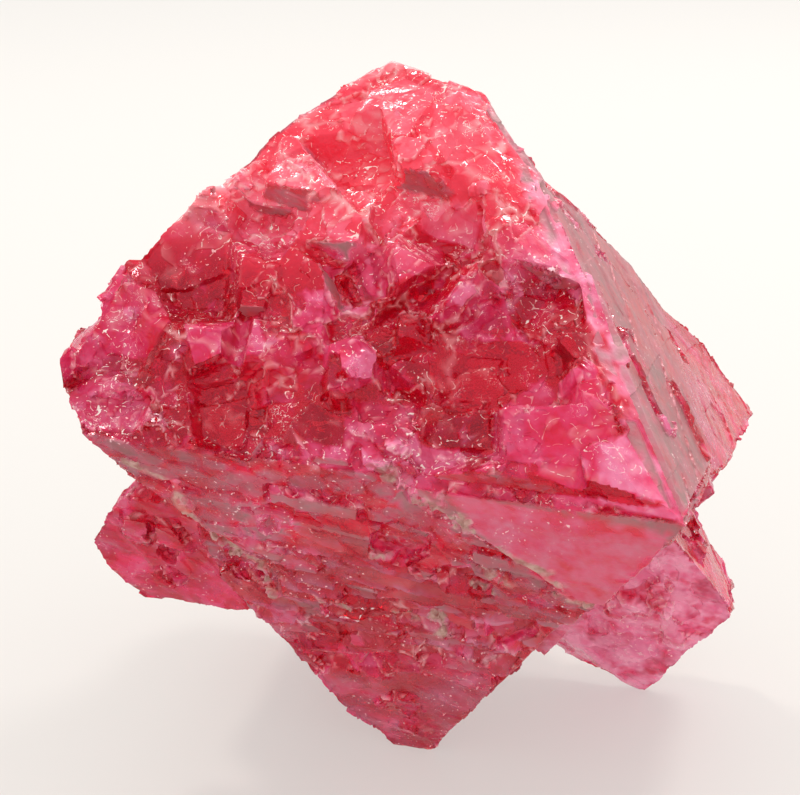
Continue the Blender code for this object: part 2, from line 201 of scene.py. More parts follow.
grains = {
    "coarseVoxel": 0.5,       # mm, the skin that they are strewn on
    "spacing": 0.5,           # mm, least distance from one to the next
    "perArea": 5.0,           # most on a square millimetre
    "size": 0.8,              # mm, the largest
    "smallest": 0.35,         # part of the largest
    "uneven": 0.30,           # how lumpy one is
    "seed": 5,
}

# which way flakes and lines run on a face: across, up
runs = {"lowerFront": (0.95, -0.31), "upperRight": (0.60, 0.80)}

# how the front is divided, by how far out a place lies and how high: where each zone fades in, mm
zones = {
    "frontOut": 13.2,                 # the big crystal's lower front face
    "slabOut": 15.25,                 # the slab along its right edge
    "slope": 0.12,                    # how much the borders on that face lean
    "lowerTop": (1.5, -2.5),          # its flaky part
    "lowerEnd": (-14, -10.5),
    "tipTop": (-10.5, -12.5),         # its smooth tip
    "leftFootOut": (8, 13.4),         # the small crystal at the lower left
    "leftFootAcross": -6,
    "rightFootOut": (9, 7),           # the milky crystal at the lower right
    "rightFootX": (6, 11),
    "rightFootZ": (27, 20),
    "crustOut": 12.8,
    "paintedBacklightHeight": (40, 47),           # painted backlight: warm and bright above this
    "litStripOut": (11.6, 13.0),        # painted light: the strip beside the ridge where the back light shines through
    "litStripHeight": (32, 38),
    "ridgeReach": (13.6, 18.6),       # the two faces that meet at the ridge
    "ridgeFade": (17.2, 17.9),
    "flatFeet": (0.15, 0.7),
}

# straight plates on grown faces
growth = {
    "count": 46,
    "lowest": (-26, -24),             # where they may lie, across and up, mm
    "highest": (26, 22),
    "size": (0.8, 5.5),
    "long": (1.0, 2.6),
}


# world normal, across and up of each octahedral face
def faceDirections():
    table = {}
    for name, signs in faceSigns.items():
        normal = np.array(signs) / math.sqrt(3)
        up = np.array((0, 0, 1.0)) - normal * normal[2]
        up /= np.linalg.norm(up)
        across = np.cross(up, normal)
        table[name] = (lean @ normal, lean @ across, lean @ up)
    return table


directions = faceDirections()


def mergedCopy(node):
    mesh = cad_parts[node].data.copy()
    bm = bmesh.new()
    bm.from_mesh(mesh)
    bmesh.ops.remove_doubles(bm, verts=bm.verts, dist=1e-6)
    bm.to_mesh(mesh)
    bm.free()
    mesh.materials.clear()
    copy = bpy.data.objects.new("skin", mesh)
    bpy.context.scene.collection.objects.link(copy)
    return copy


# the evaluated mesh of an object, as a plain mesh
def applied(source, name):
    evaluated = source.evaluated_get(bpy.context.evaluated_depsgraph_get())
    mesh = bpy.data.meshes.new_from_object(evaluated)
    mesh.name = name
    return mesh


def readPoints(mesh):
    count = len(mesh.vertices)
    points = np.empty(count * 3, np.float32)
    normals = np.empty(count * 3, np.float32)
    mesh.vertices.foreach_get("co", points)
    mesh.vertex_normals.foreach_get("vector", normals)
    return points.reshape(-1, 3) / mm, normals.reshape(-1, 3)


def writePoints(mesh, points):
    mesh.vertices.foreach_set("co", (points * mm).astype(np.float32).ravel())
    mesh.update()


def smoothStep(low, high, value):
    t = np.clip((value - low) / (high - low), 0, 1)
    return t * t * (3 - 2 * t)


# points moved by a slow swirl, so borders drawn from them curve
def wander(points, amount):
    turned = points[:, [1, 2, 0]]
    again = points[:, [2, 0, 1]]
    return points + amount * (np.sin(turned * 1.3 + 0.7) + 0.5 * np.sin(again * 3.1 + 1.9)).astype(np.float32)


# nearest point of a jittered grid: the way to it in cells, six random numbers of its own,
# and how near the border to the next one is, mm
def cells(points, size, seed):
    rng = np.random.default_rng(seed)
    spots = points / size
    start = np.floor(spots.min(0)) - 2
    spots = spots - start
    span = spots.max(0).astype(int) + 3
    table = rng.random((*span, 9), dtype=np.float32)
    home = spots.astype(int)
    best = np.full(len(points), 99.0, np.float32)
    second = np.full(len(points), 99.0, np.float32)
    way = np.zeros((len(points), 3), np.float32)
    values = np.zeros((len(points), 6), np.float32)
    for shift in itertools.product((-1, 0, 1), repeat=3):
        cell = home + shift
        entry = table[cell[:, 0], cell[:, 1], cell[:, 2]]
        gap = spots - cell - entry[:, :3]
        far = np.sqrt((gap * gap).sum(1))
        closer = far < best
        second = np.where(closer, best, np.minimum(second, far))
        best[closer] = far[closer]
        way[closer] = gap[closer]
        values[closer] = entry[closer, 3:]
    return way, values, (second - best) * size * 0.5


# a relief of tilted and slightly domed pieces with small cliffs between them, mm,
# with two random numbers for each piece and how near its border is
def facets(points, size, step, seed):
    way, values, border = cells(points, size, seed)
    tilt = (values[:, 1:4] - 0.5) * 2 * relief["tilt"]
    height = (values[:, 0] - 0.5) * 2 + (way * tilt).sum(1) * 2 - relief["dome"] * (way * way).sum(1) * 2
    return {"lift": step * height, "tone": values[:, 4], "edge": values[:, 5], "border": border, "way": way}


# 1 on the surfaces that grew flat, 0 where the crystal broke
def grownMask(points, normals):
    grown = np.zeros(len(points), np.float32)
    for name, (normal, across, up) in directions.items():
        if name != "upperFront":
            grown = np.maximum(grown, smoothStep(0.955, 0.985, normals @ normal))
    return grown


# place on a face: out from the middle, across and up, mm
def onFace(points, name):
    normal, across, up = directions[name]
    fromCentre = points - crystalCentre
    return fromCentre @ normal, fromCentre @ across, fromCentre @ up


# how far outside a convex outline, negative inside, mm
def polygonDistance(across, up, corners):
    ring = np.array(corners)
    middle = ring.mean(0)
    distance = np.full(len(across), -99.0, np.float32)
    for first, second in zip(ring, np.roll(ring, -1, 0)):
        side = second - first
        out = np.array((side[1], -side[0])) / np.hypot(*side)
        if (middle - first) @ out > 0:
            out = -out
        distance = np.maximum(distance, (across - first[0]) * out[0] + (up - first[1]) * out[1])
    return distance


def lineDistance(across, up, corners):
    spots = np.stack((across, up), 1)
    distance = np.full(len(across), 99.0, np.float32)
    for first, second in zip(np.array(corners[:-1]), np.array(corners[1:])):
        side = second - first
        part = np.clip((spots - first) @ side / (side @ side), 0, 1)
        distance = np.minimum(distance, np.linalg.norm(spots - first - part[:, None] * side, axis=1))
    return distance


# points moved back onto a bevel between two faces
def wornRidge(points, firstFace, firstReach, secondFace, secondReach, width):
    across = directions[firstFace][0] + directions[secondFace][0]
    over = (points - crystalCentre) @ across - (firstReach + secondReach - width)
    return points - np.clip(over, 0, None)[:, None] * across / (across @ across), over


# flat flakes on the grown faces: their height, how dusty each is, and where red gaps and seams run
def flatFlakes(points, normals, seed):
    count = len(points)
    lift, dusty, red, seam = (np.zeros(count, np.float32) for each in range(4))
    for order, (name, (normal, across, up)) in enumerate(directions.items()):
        on = np.nonzero(normals @ normal > 0.93)[0]
        if name == "upperFront" or len(on) == 0:
            continue
        out, side, rise = onFace(points[on], name)
        run = runs.get(name, (1.0, 0.0))
        along = side * run[0] + rise * run[1]
        beside = rise * run[0] - side * run[1]
        spots = np.stack((along / 1.9 + 0.35 * np.sin(beside * 1.3), beside + 0.25 * np.sin(along * 0.9),
                          0 * along), 1)
        way, values, border = cells(spots, relief["flakeSize"], seed + order)
        lift[on] = (values[:, 0] - 0.5) * 2 + 1.2 * (values[:, 3] - 0.5) * way[:, 1]
        dusty[on] = values[:, 1]
        red[on] = (values[:, 2] > 0.88) * smoothStep(0.02, 0.08, border)
        seam[on] = 1 - smoothStep(0.015, 0.07, border)
        if name == "upperRight":
            lift[on] += 0.35 * np.sin(beside * 7 + 1.5 * np.sin(along * 0.35) + 2 * np.sin(beside * 2.3))
    return lift * relief["flakeStep"], dusty, red, seam


# overlapping straight-sided plates on the grown faces: their height and a tone for each
def growthPlates(points, normals, grown):
    rng = np.random.default_rng(relief["seed"] + 50)
    height = np.zeros(len(points), np.float32)
    tone = np.zeros(len(points), np.float32)
    for name, (normal, across, up) in directions.items():
        on = (grown > 0.05) & (normals @ normal > 0.9)
        if not on.any():
            continue
        flat = np.stack(((points[on] - crystalCentre) @ across, (points[on] - crystalCentre) @ up), 1)
        lift = np.zeros(len(flat))
        shade = np.zeros(len(flat))
        for plate in range(growth["count"]):
            spot = rng.uniform(growth["lowest"], growth["highest"])
            size = rng.uniform(*growth["size"])
            long = rng.uniform(*growth["long"])
            edge = np.full(len(flat), -99.0)
            turns = (90, 210, 330) if rng.random() < 0.6 else (30, 90, 150, 210, 270, 330)
            for turn in turns:
                angle = math.radians(turn + rng.uniform(-4, 4))
                side = np.array((math.cos(angle) / long, math.sin(angle)))
                edge = np.maximum(edge, (flat - spot) @ side * rng.uniform(0.8, 1.2))
            inside = edge < size
            lift[inside] += relief["growthStep"] * rng.uniform(-1.2, 0.8)
            shade[inside] = rng.uniform(0, 1)
        height[on] = lift
        tone[on] = shade
    return height, tone


# points moved by the swells, smoothly, so nothing folds
def swollen(points):
    total = np.zeros(points.shape, np.float32)
    weights = np.zeros(len(points), np.float32)
    for spot, move, reach in swells:
        weight = np.exp(-((points - np.array(spot)) ** 2).sum(1) / reach ** 2)
        total += weight[:, None] * np.array(move)
        weights += weight
    return points + total / np.maximum(1, weights)[:, None]


# how far a place is from the two lower edges of the front face, mm
def tipEdge(across, up):
    left = (up + 24.6) * 0.5 + (across + 0.6) * 0.85
    right = (up + 24.6) * 0.62 - (across + 0.6) * 0.78
    return np.minimum(np.abs(left), np.abs(right))


# part of the way from a value to another, by a mask
def toward(value, goal, mask):
    return value + (goal - value) * mask


# which crystal, and which part of its face, each front point belongs to
def frontZones(points, normals):
    out, across, up = onFace(points, "lowerFront")
    turned = normals @ directions["lowerFront"][0]
    facing = smoothStep(0.6, 0.9, turned)
    front = facing * (out > zones["frontOut"])
    slope = up + zones["slope"] * across
    nearest, farthest = zones["leftFootOut"]
    return {
        "out": out, "across": across, "up": up, "facing": facing, "turned": turned,
        "lower": front * smoothStep(*zones["lowerTop"], slope) * smoothStep(*zones["lowerEnd"], slope),
        "tip": front * smoothStep(*zones["tipTop"], slope),
        "slab": facing * (out > zones["slabOut"]),
        "leftFoot": facing * (out < farthest) * (out > nearest) * (across < zones["leftFootAcross"]),
        "rightFoot": (smoothStep(*zones["rightFootOut"], out) * smoothStep(-0.2, 0.3, turned)
                      * smoothStep(*zones["rightFootX"], points[:, 0])
                      * smoothStep(*zones["rightFootZ"], points[:, 2])),
    }


# flaky ledges low on the front: their height, pale lips and painted shade on the part tucked under the next ledge
def shingled(zone, seed):
    laid = np.stack((zone["across"] / 3.6 + 0.25 * np.sin(zone["up"] * 1.1),
                     zone["up"] + 0.18 * zone["across"], zone["out"] * 0.4), 1)
    bent = laid + 0.22 * np.sin(laid[:, [1, 2, 0]] * 3.7)
    step, ledge, border = cells(bent, relief["shingleSize"], seed)
    height = relief["shingleStep"] * (ledge[:, 0] - 0.5 - step[:, 1] * 0.9)
    lip = smoothStep(0.1, -0.45, step[:, 1]) * (ledge[:, 0] > 0.4)
    return height, lip, smoothStep(0.0, 0.5, step[:, 1])


# the single cleavage surfaces, laid over the masks one after another
def layPatches(points, normals, tint, clear, dustShadeSheen):
    flat = np.zeros(len(points), np.float32)
    for face, depth, clearness, flatness, corners in patches:
        reach, side, rise = onFace(points, face)
        upper = face == "upperFront"
        sunken = not upper and flatness == 0
        inside = smoothStep(0.12, -0.06, polygonDistance(side, rise, corners))
        inside = inside * smoothStep(0.15, 0.5, normals @ directions[face][0])
        inside = inside * (reach > (10.5 if upper else zones["frontOut"]))
        tint = toward(tint, depth, inside)
        clear = toward(clear, clearness, inside)
        flat = np.maximum(flat, flatness * inside)
        dustShadeSheen = dustShadeSheen * (1 - inside * (1 if upper or sunken else 0.65))
        if sunken:
            points = points - normals * (inside * 0.28)[:, None]
    return points, tint, clear, dustShadeSheen, flat


# host rock along its lines and on the grains low on the front
def crustMask(zone, ragged, grainMask, chipTone):
    crust = np.zeros(len(ragged), np.float32)
    for width, line in crustLines:
        near = lineDistance(zone["across"], zone["up"], line) / width + ragged
        crust = np.maximum(crust, zone["facing"] * (zone["out"] > zones["crustOut"]) * smoothStep(0.75, 0.45, near))
    onFront = (zone["out"] > 12.5) * (zone["out"] < 17) * smoothStep(9.5, 8.0, zone["up"])
    return np.maximum(crust, grainMask * onFront * (0.5 + 0.5 * (chipTone > 0.5)))


# new points with the broken and grown relief, and the masks that the material reads
def breakUp(points, normals, grainMask):
    grown = grownMask(points, normals)
    seed = relief["seed"]
    frontReach, sideReach = zones["ridgeReach"]
    points, overRidge = wornRidge(points, "upperFront", frontReach, "upperRight", sideReach, relief["bevel"])
    ridge = (smoothStep(-0.5, 0.05, overRidge)
             * smoothStep(*zones["ridgeFade"], (points - crystalCentre) @ directions["upperRight"][0]))

    swirled = wander(points, relief["warp"])
    plates = facets(swirled, relief["plateSize"], relief["plateStep"], seed)
    blocks = facets(swirled, relief["blockSize"], relief["blockStep"], seed + 1)
    chips = facets(points, relief["chipSize"], relief["chipStep"], seed + 2)
    plateTone, blockTone, chipTone = plates["tone"], blocks["tone"], chips["tone"]
    fromMiddle = blocks["way"] - (blocks["edge"][:, None] - 0.5) * 1.5
    shells = np.sqrt((fromMiddle ** 2).sum(1)) * (3 + 5 * blockTone)
    ripples = relief["rippleStep"] * (shells - np.floor(shells))
    # pale rims along some borders: partly real pale edges, partly painted highlight
    rimAndShine = np.maximum((plates["edge"] > 0.45) * (1 - smoothStep(0.02, 0.09, plates["border"])),
                     (blocks["edge"] > 0.68) * (1 - smoothStep(0.015, 0.065, blocks["border"])))

    # colour of broken stone: each plate, block and chip has its own depth
    tint = 0.36 + 0.55 * (plateTone - 0.5) + 0.55 * (blockTone - 0.5) + 0.2 * (chipTone - 0.5)
    clear = 1 - smoothStep(0.25, 0.70, tint) * 0.55
    zone = frontZones(points, normals)
    lower, tip, slab, leftFoot, rightFoot = (zone[name] for name in ("lower", "tip", "slab", "leftFoot", "rightFoot"))
    ledges, lip, ledgeShade = shingled(zone, seed + 3)
    points, tint, clear, dustShadeSheen, flat = layPatches(points, normals, tint, clear, grown.copy())

    plateLift, plateShade = growthPlates(points, normals, grown)
    flakeLift, dusty, red, seam = flatFlakes(points, normals, seed + 20)
    front = zone["facing"] * (zone["out"] > zones["frontOut"]) * (1 - slab)
    rightFace = smoothStep(0.9, 0.97, normals @ directions["upperRight"][0])
    amount = grown * (0.5 + 0.5 * front) * (1 - 0.65 * rightFace) * (1 - 0.75 * slab) * (1 - tip * 0.6)
    clear = clear * (1 - 0.3 * grown + 0.25 * front * grown)
    red = red * front * (1 - tip) * grown
    broken = (1 - grown) * (1 - ridge)

    # how far each point moves out
    rough = plates["lift"] + blocks["lift"] + chips["lift"]
    push = broken * (1 - flat) * (rough + ripples + rimAndShine * relief["rimLift"] - 0.1)
    push += (1 - broken) * (plateLift * grown + 0.12 * chips["lift"] + 0.08 * blocks["lift"])
    push += broken * flat * 0.12 * (blocks["lift"] + chips["lift"])
    push += lower * ledges * 0.8 + amount * flakeLift - red * 0.16
    push += rightFoot * grown * (0.4 * blocks["lift"] + 0.8 * chips["lift"])

    # grown faces: flakes with dust, painted grey sheen and painted shade, clean red gaps and dark seams
    flakeTint = 0.25 + 0.35 * plateShade + 0.3 * (chipTone - 0.5) + amount * (dusty - 0.5) * 0.7
    tint = np.where(grown > 0.5, flakeTint, tint)
    tint = tint - amount * (0.4 * seam + 0.5 * red)
    dustShadeSheen = dustShadeSheen * (1 - amount * (0.65 * (1 - dusty) + 0.5 * seam)) * (1 - red) * (0.85 + 0.4 * plateShade)
    clear = clear + red * (0.9 - clear)
    face, depth, clearness, flatness, corners = patches[-1]      # the slab keeps its own colour
    reach, side, rise = onFace(points, face)
    onSlab = smoothStep(0.12, -0.06, polygonDistance(side, rise, corners)) * (reach > 14.7)
    tint = toward(tint, depth, onSlab * 0.7)
    # pale ledge lips, painted shade under each ledge, a little deeper overall
    tint = tint + lower * (0.75 * lip - 0.35 * ledgeShade - 0.1)
    # the lower front face faces down: its dust cover is partly painted shade and painted grey sheen
    dustShadeSheen = np.maximum(dustShadeSheen * (1 - 0.45 * tip), 0.5 * lower * (1 - red))
    worn = smoothStep(1.2, 0.3, tipEdge(zone["across"], zone["up"]))
    tint = toward(tint, 0.38 + 0.3 * worn + 0.2 * (blockTone - 0.5), tip)

    # the small crystals and the ridge
    tint = toward(tint, 0.15 + 0.35 * blockTone, leftFoot * 0.8)
    dustShadeSheen = dustShadeSheen * (1 - 0.8 * leftFoot)
    tint = toward(tint, 0.55 + 0.7 * chipTone * blockTone + 0.25 * plateTone, rightFoot)
    dustShadeSheen = dustShadeSheen * (1 - 0.9 * rightFoot)
    tint = toward(tint, 0.72 + 0.4 * (chipTone - 0.5), ridge)
    clear = clear * (1 - 0.4 * ridge)
    reach, side, rise = onFace(points, "upperRight")
    slit = (reach < 18.4) * (reach > 17.2) * (grown < 0.3) * (side > -14) * (rise < 0)
    tint = tint - slit * 0.4
    dustShadeSheen = dustShadeSheen * (1 - slit)

    ragged = 0.55 * (chipTone - 0.5) + 0.5 * (blockTone - 0.5)
    crust = crustMask(zone, ragged, grainMask, chipTone)
    tint = toward(tint, 0.75 + 0.3 * (blockTone - 0.5), grainMask * 0.8)
    push += crust * relief["crustLift"] * (0.4 + chipTone)

    # painted backlight: warm and bright near the top; milky low on the right crystal and along the worn ridge;
    # painted light on the strip beside the ridge
    paintedBacklight = smoothStep(*zones["paintedBacklightHeight"], points[:, 2] - 0.12 * points[:, 0]) * (1 - 0.8 * grown)
    milky = smoothStep(0.2, 0.5, zone["turned"])
    # painted light: a pale strip beside the ridge where the back light shines through the thin edge
    paintedLitStrip = rightFace * smoothStep(*zones["litStripOut"], onFace(points, "upperFront")[0])
    paintedLitStrip = paintedLitStrip * smoothStep(*zones["litStripHeight"], points[:, 2])
    haze = rightFoot * milky * (0.65 + 0.5 * blockTone) + 0.6 * ridge + 0.3 * grainMask + 0.25 * slab * grown
    haze = haze + 0.35 * smoothStep(0.75, 0.95, tint) * broken + 0.6 * paintedLitStrip
    dustShadeSheen = dustShadeSheen * (1 - 0.75 * smoothStep(17, 20, points[:, 0]))

    # the far side is cleaner and deeper
    behind = smoothStep(-0.1, 0.35, normals @ np.array((0.15, 0.97, 0.0)) + 0.02 * points[:, 1])
    behind = np.maximum(behind, (1 - zone["facing"]) * smoothStep(6, 12, points[:, 1]) * (1 - rightFace)) * grown
    tint = tint + behind * (0.65 * (plateTone - 0.5) + 0.30 * (blockTone - 0.5) - 0.15)
    clean = smoothStep(0.4, 0.6, blockTone) * smoothStep(0.05, 0.4, blocks["border"])
    dustShadeSheen = dustShadeSheen * (1 - behind * (0.25 + 0.5 * clean))
    clear = toward(clear, 0.75, behind * 0.8)
    push += behind * (0.15 * blocks["lift"] + 0.25 * plates["lift"])

    crumbHighlight = np.zeros(len(points), np.float32)
    for spot, spread in blownOutCrumbs:
        near = ((points - np.array(spot)) ** 2).sum(1) / spread ** 2
        crumbHighlight = np.maximum(crumbHighlight, np.exp(-near) * (0.4 + 0.9 * chipTone))
    # crumbs painted paler, partly a painted highlight from the back light
    tint = tint + crumbHighlight * 0.5

    foot = smoothStep(*zones["flatFeet"], points[:, 2])       # keeps the feet flat
    moved = swollen(points + normals * (push * foot)[:, None])
    masks = {
        "tint": np.clip(tint, 0, 1),
        "clear": np.clip(clear, 0, 1),
        "dustShadeSheen": np.clip(dustShadeSheen, 0, 1),
        "rimAndShine": np.clip(rimAndShine * broken * (1 - 0.6 * flat) + 1.6 * crumbHighlight, 0, 1.6),
        "crust": crust,
        "paintedBacklight": paintedBacklight,
        # where painted glints gather: broken stone facing up
        "glintsFacingUp": smoothStep(0.35, 0.8, normals[:, 2]) * broken,
        "haze": np.clip(haze, 0, 1),
    }
    return moved, masks


# how likely a grain is at each point
def crumbly(points, normals):
    groups = wander(points * 0.35, 0.9)
    clustered = np.sin(groups[:, 0] * 1.9) * np.sin(groups[:, 1] * 2.3 + 1.1) * np.sin(groups[:, 2] * 2.1 + 0.4)
    weight = (normals @ directions["upperFront"][0] > 0.6) * smoothStep(0.1, 0.6, clustered) * 0.07
    weight = weight.astype(np.float32)
    for name, across, up, spread in grainSpots:
        out, side, rise = onFace(points, name)
        near = np.hypot(side - across, rise - up) / spread
        weight = np.maximum(weight, smoothStep(1.3, 0.5, near) * (normals @ directions[name][0] > 0.2) * (out > 8))
    out, side, rise = onFace(points, "lowerFront")
    for width, line in crustLines:
        near = lineDistance(side, rise, line) / width
        weight = np.maximum(weight, smoothStep(1.3, 0.7, near) * (normals @ directions["lowerFront"][0] > 0.6)
                            * (out > zones["crustOut"]) * 0.35)
    return weight


# lumpy grains strewn over a surface, more where its crumbly value is high
def grainTree():
    tree = bpy.data.node_groups.new("grainScatter", "GeometryNodeTree")
    face = tree.interface
    face.new_socket(name="Skin", in_out="INPUT", socket_type="NodeSocketGeometry")
    for name in ("Spacing", "Per Area", "Size", "Smallest", "Uneven"):
        face.new_socket(name=name, in_out="INPUT", socket_type="NodeSocketFloat")
    face.new_socket(name="Seed", in_out="INPUT", socket_type="NodeSocketInt")
    face.new_socket(name="Stone", in_out="INPUT", socket_type="NodeSocketMaterial")
    face.new_socket(name="Grains", in_out="OUTPUT", socket_type="NodeSocketGeometry")

    def node(kind, links, **settings):
        made = tree.nodes.new(kind)
        for key, value in settings.items():
            setattr(made, key, value)
        for key, value in links.items():
            if isinstance(value, bpy.types.NodeSocket):
                tree.links.new(value, made.inputs[key])
            else:
                made.inputs[key].default_value = value
        return made

    given = tree.nodes.new("NodeGroupInput").outputs
    likely = node("GeometryNodeInputNamedAttribute", {"Name": "crumbly"}, data_type="FLOAT")
    strewn = node("GeometryNodeDistributePointsOnFaces", {
        "Mesh": given["Skin"], "Distance Min": given["Spacing"], "Density Max": given["Per Area"],
        "Density Factor": likely.outputs["Attribute"], "Seed": given["Seed"],
    }, distribute_method="POISSON")
    ball = node("GeometryNodeMeshIcoSphere", {"Radius": 0.5, "Subdivisions": 2})
    lumps = node("ShaderNodeTexNoise", {"Scale": 1.7, "Detail": 1.0})
    shifted = node("ShaderNodeVectorMath", {0: lumps.outputs["Color"], 1: (0.5, 0.5, 0.5)}, operation="SUBTRACT")
    scaled = node("ShaderNodeVectorMath", {0: shifted.outputs[0], "Scale": given["Uneven"]}, operation="SCALE")
    grain = node("GeometryNodeSetPosition", {"Geometry": ball.outputs["Mesh"], "Offset": scaled.outputs[0]})
    turn = node("FunctionNodeRandomValue", {"Max": (6.28, 6.28, 6.28), "Seed": given["Seed"]},
                data_type="FLOAT_VECTOR")
    least = node("ShaderNodeMath", {0: given["Size"], 1: given["Smallest"]}, operation="MULTIPLY")
    width = node("FunctionNodeRandomValue", {}, data_type="FLOAT")
    tree.links.new(least.outputs[0], width.inputs[2])
    tree.links.new(given["Size"], width.inputs[3])
    tree.links.new(given["Seed"], width.inputs["Seed"])
    placed = node("GeometryNodeInstanceOnPoints", {
        "Points": strewn.outputs["Points"], "Instance": grain.outputs["Geometry"],
        "Rotation": turn.outputs[0], "Scale": width.outputs[1],
    })
    real = node("GeometryNodeRealizeInstances", {"Geometry": placed.outputs["Instances"]})
    dressed = node("GeometryNodeSetMaterial", {"Geometry": real.outputs["Geometry"], "Material": given["Stone"]})
    result = tree.nodes.new("NodeGroupOutput")
    tree.links.new(dressed.outputs["Geometry"], result.inputs["Grains"])
    return tree


# every grain as one plain mesh
def strewGrains(coarse):
    points, normals = readPoints(coarse)
    attribute = coarse.attributes.new("crumbly", "FLOAT", "POINT")
    attribute.data.foreach_set("value", crumbly(points, normals).astype(np.float32))
    bed = bpy.data.objects.new("grainBed", coarse)
    bpy.context.scene.collection.objects.link(bed)
    modifier = bed.modifiers.new("strew", "NODES")
    modifier.node_group = grainTree()
    sizes = {
        "Spacing": grains["spacing"] * mm, "Per Area": grains["perArea"] / mm ** 2,
        "Size": grains["size"] * mm, "Smallest": grains["smallest"], "Uneven": grains["uneven"],
        "Seed": grains["seed"], "Stone": bpy.data.materials.new("grainStone"),
    }
    for item in modifier.node_group.interface.items_tree:
        if item.in_out == "INPUT" and item.name in sizes:
            modifier[item.identifier] = sizes[item.name]
    mesh = applied(bed, "grains")
    mesh.materials.clear()
    bpy.data.objects.remove(bed, do_unlink=True)
    return mesh


def voxelled(source, size):
    remesh = source.modifiers.new("fuse", "REMESH")
    remesh.mode = "VOXEL"
    remesh.voxel_size = size * mm
    mesh = applied(source, "fused")
    source.modifiers.remove(remesh)
    return mesh


# 1 on the grains, 0 away from them
def nearGrains(points, grainPoints):
    tree = kdtree.KDTree(len(grainPoints))
    for index, point in enumerate(grainPoints):
        tree.insert(point, index)
    tree.balance()
    mask = np.zeros(len(points), np.float32)
    low, high = grainPoints.min(0) - 0.3, grainPoints.max(0) + 0.3
    blocksWithGrains = {tuple(spot) for spot in np.floor(grainPoints).astype(int)}
    home = np.floor(points).astype(int)
    for index in np.nonzero(((points > low) & (points < high)).all(1))[0]:
        if tuple(home[index]) in blocksWithGrains:
            mask[index] = tree.find(points[index])[2] < 0.16
    return mask


def buildCrystal():
    skin = mergedCopy("spinel_crystal")
    grainMesh = strewGrains(voxelled(skin, grains["coarseVoxel"]))
    grainPoints = readPoints(grainMesh)[0]
    print("strewn", len(grainPoints) // 42, "grains")
    bm = bmesh.new()
    bm.from_mesh(skin.data)
    bm.from_mesh(grainMesh)
    bm.to_mesh(skin.data)
    bm.free()
    fine = voxelled(skin, relief["fineVoxel"])
    bpy.data.objects.remove(skin, do_unlink=True)
    points, normals = readPoints(fine)
    print("fused", len(points), "points")
    grainMask = nearGrains(points, grainPoints)
    moved, masks = breakUp(points, normals, grainMask)
    low = np.array(cadBox[0]) / mm
    high = np.array(cadBox[1]) / mm
    moved = np.clip(moved, low, high)
    writePoints(fine, moved)
    print("relief cut")

    body = bpy.data.objects.new("crystal", fine)
    bpy.context.scene.collection.objects.link(body)
    thin = body.modifiers.new("thin", "DECIMATE")
    thin.ratio = min(1.0, relief["triangles"] / (len(fine.polygons) * 2))
    mesh = applied(body, "crystal")
    bpy.data.objects.remove(body, do_unlink=True)

    tree = kdtree.KDTree(len(moved))
    for index, point in enumerate(moved):
        tree.insert(point, index)
    tree.balance()
    finalPoints, finalNormals = readPoints(mesh)
    nearest = np.array([tree.find(point)[1] for point in finalPoints])
    for name, values in masks.items():
        attribute = mesh.attributes.new(name, "FLOAT", "POINT")
        attribute.data.foreach_set("value", values[nearest].astype(np.float32))
    mesh.polygons.foreach_set("use_smooth", np.ones(len(mesh.polygons), bool))
    mesh.set_sharp_from_angle(angle=math.radians(24))
    crystal = bpy.data.objects.new("crystal", mesh)
    bpy.context.scene.collection.objects.link(crystal)
    print("crystal has", len(mesh.polygons), "triangles")
    return crystal


crystal = buildCrystal()

stone = {
    "ior": 1.718,
    "gloss": 0.35,
    "glossTint": (1.0, 0.32, 0.44, 1),
    "crimson": (0.90, 0.008, 0.048, 1),
    "rose": (0.95, 0.052, 0.190, 1),
    "palePink": (0.97, 0.22, 0.44, 1),
    # the warm red and pink are painted backlight near the top
    "backlitRed": (1.0, 0.055, 0.095, 1),
    "backlitPink": (1.0, 0.165, 0.235, 1),
    "milk": (0.98, 0.38, 0.55, 1),
    "dustShadeSheenColour": (0.355, 0.195, 0.190, 1),
    "rimAndShineColour": (1.0, 0.69, 0.70, 1),
    "glintColour": (1.0, 0.93, 0.86, 1),
    "rockColour": (0.55, 0.37, 0.31, 1),
    "rockShade": (0.36, 0.17, 0.14, 1),
    "depthColour": (0.975, 0.10, 0.27, 1),
    "depthDensity": 120.0,
    "cloudScale": 130.0,      # patterns, from the broadest to the finest
    "hazeScale": 520.0,
    "stepScale": 640.0,
    "fineScale": 1500.0,
    "gritScale": 3400.0,
    "bumpStrength": 0.5,
    "bumpDepth": 0.00012,     # m
}


# short way to add nodes and join them
class Nodes:

    def __init__(self, name):
        self.material = bpy.data.materials.new(name)
        self.material.use_nodes = True
        self.tree = self.material.node_tree
        self.tree.nodes.clear()

    def add(self, kind, inputs=None, **settings):
        node = self.tree.nodes.new("ShaderNode" + kind)
        for key, value in settings.items():
            setattr(node, key, value)
        for key, value in (inputs or {}).items():
            if isinstance(value, bpy.types.NodeSocket):
                self.tree.links.new(value, node.inputs[key])
            else:
                node.inputs[key].default_value = value
        return node

    def math(self, operation, first, second=0.0, clamp=False):
        return self.add("Math", {0: first, 1: second}, operation=operation, use_clamp=clamp).outputs[0]

    def ramp(self, value, low, high, toLow=0.0, toHigh=1.0):
        return self.add("MapRange", {0: value, 1: low, 2: high, 3: toLow, 4: toHigh}).outputs[0]

    def mix(self, factor, first, second):
        return self.add("Mix", {0: factor, 6: first, 7: second}, data_type="RGBA").outputs[2]

    def noise(self, where, scale, detail=3.0, rough=0.55):
        return self.add("TexNoise", {"Vector": where, "Scale": scale, "Detail": detail,
                                     "Roughness": rough}).outputs[0]

    def attribute(self, name):
        return self.add("Attribute", attribute_name=name).outputs["Fac"]


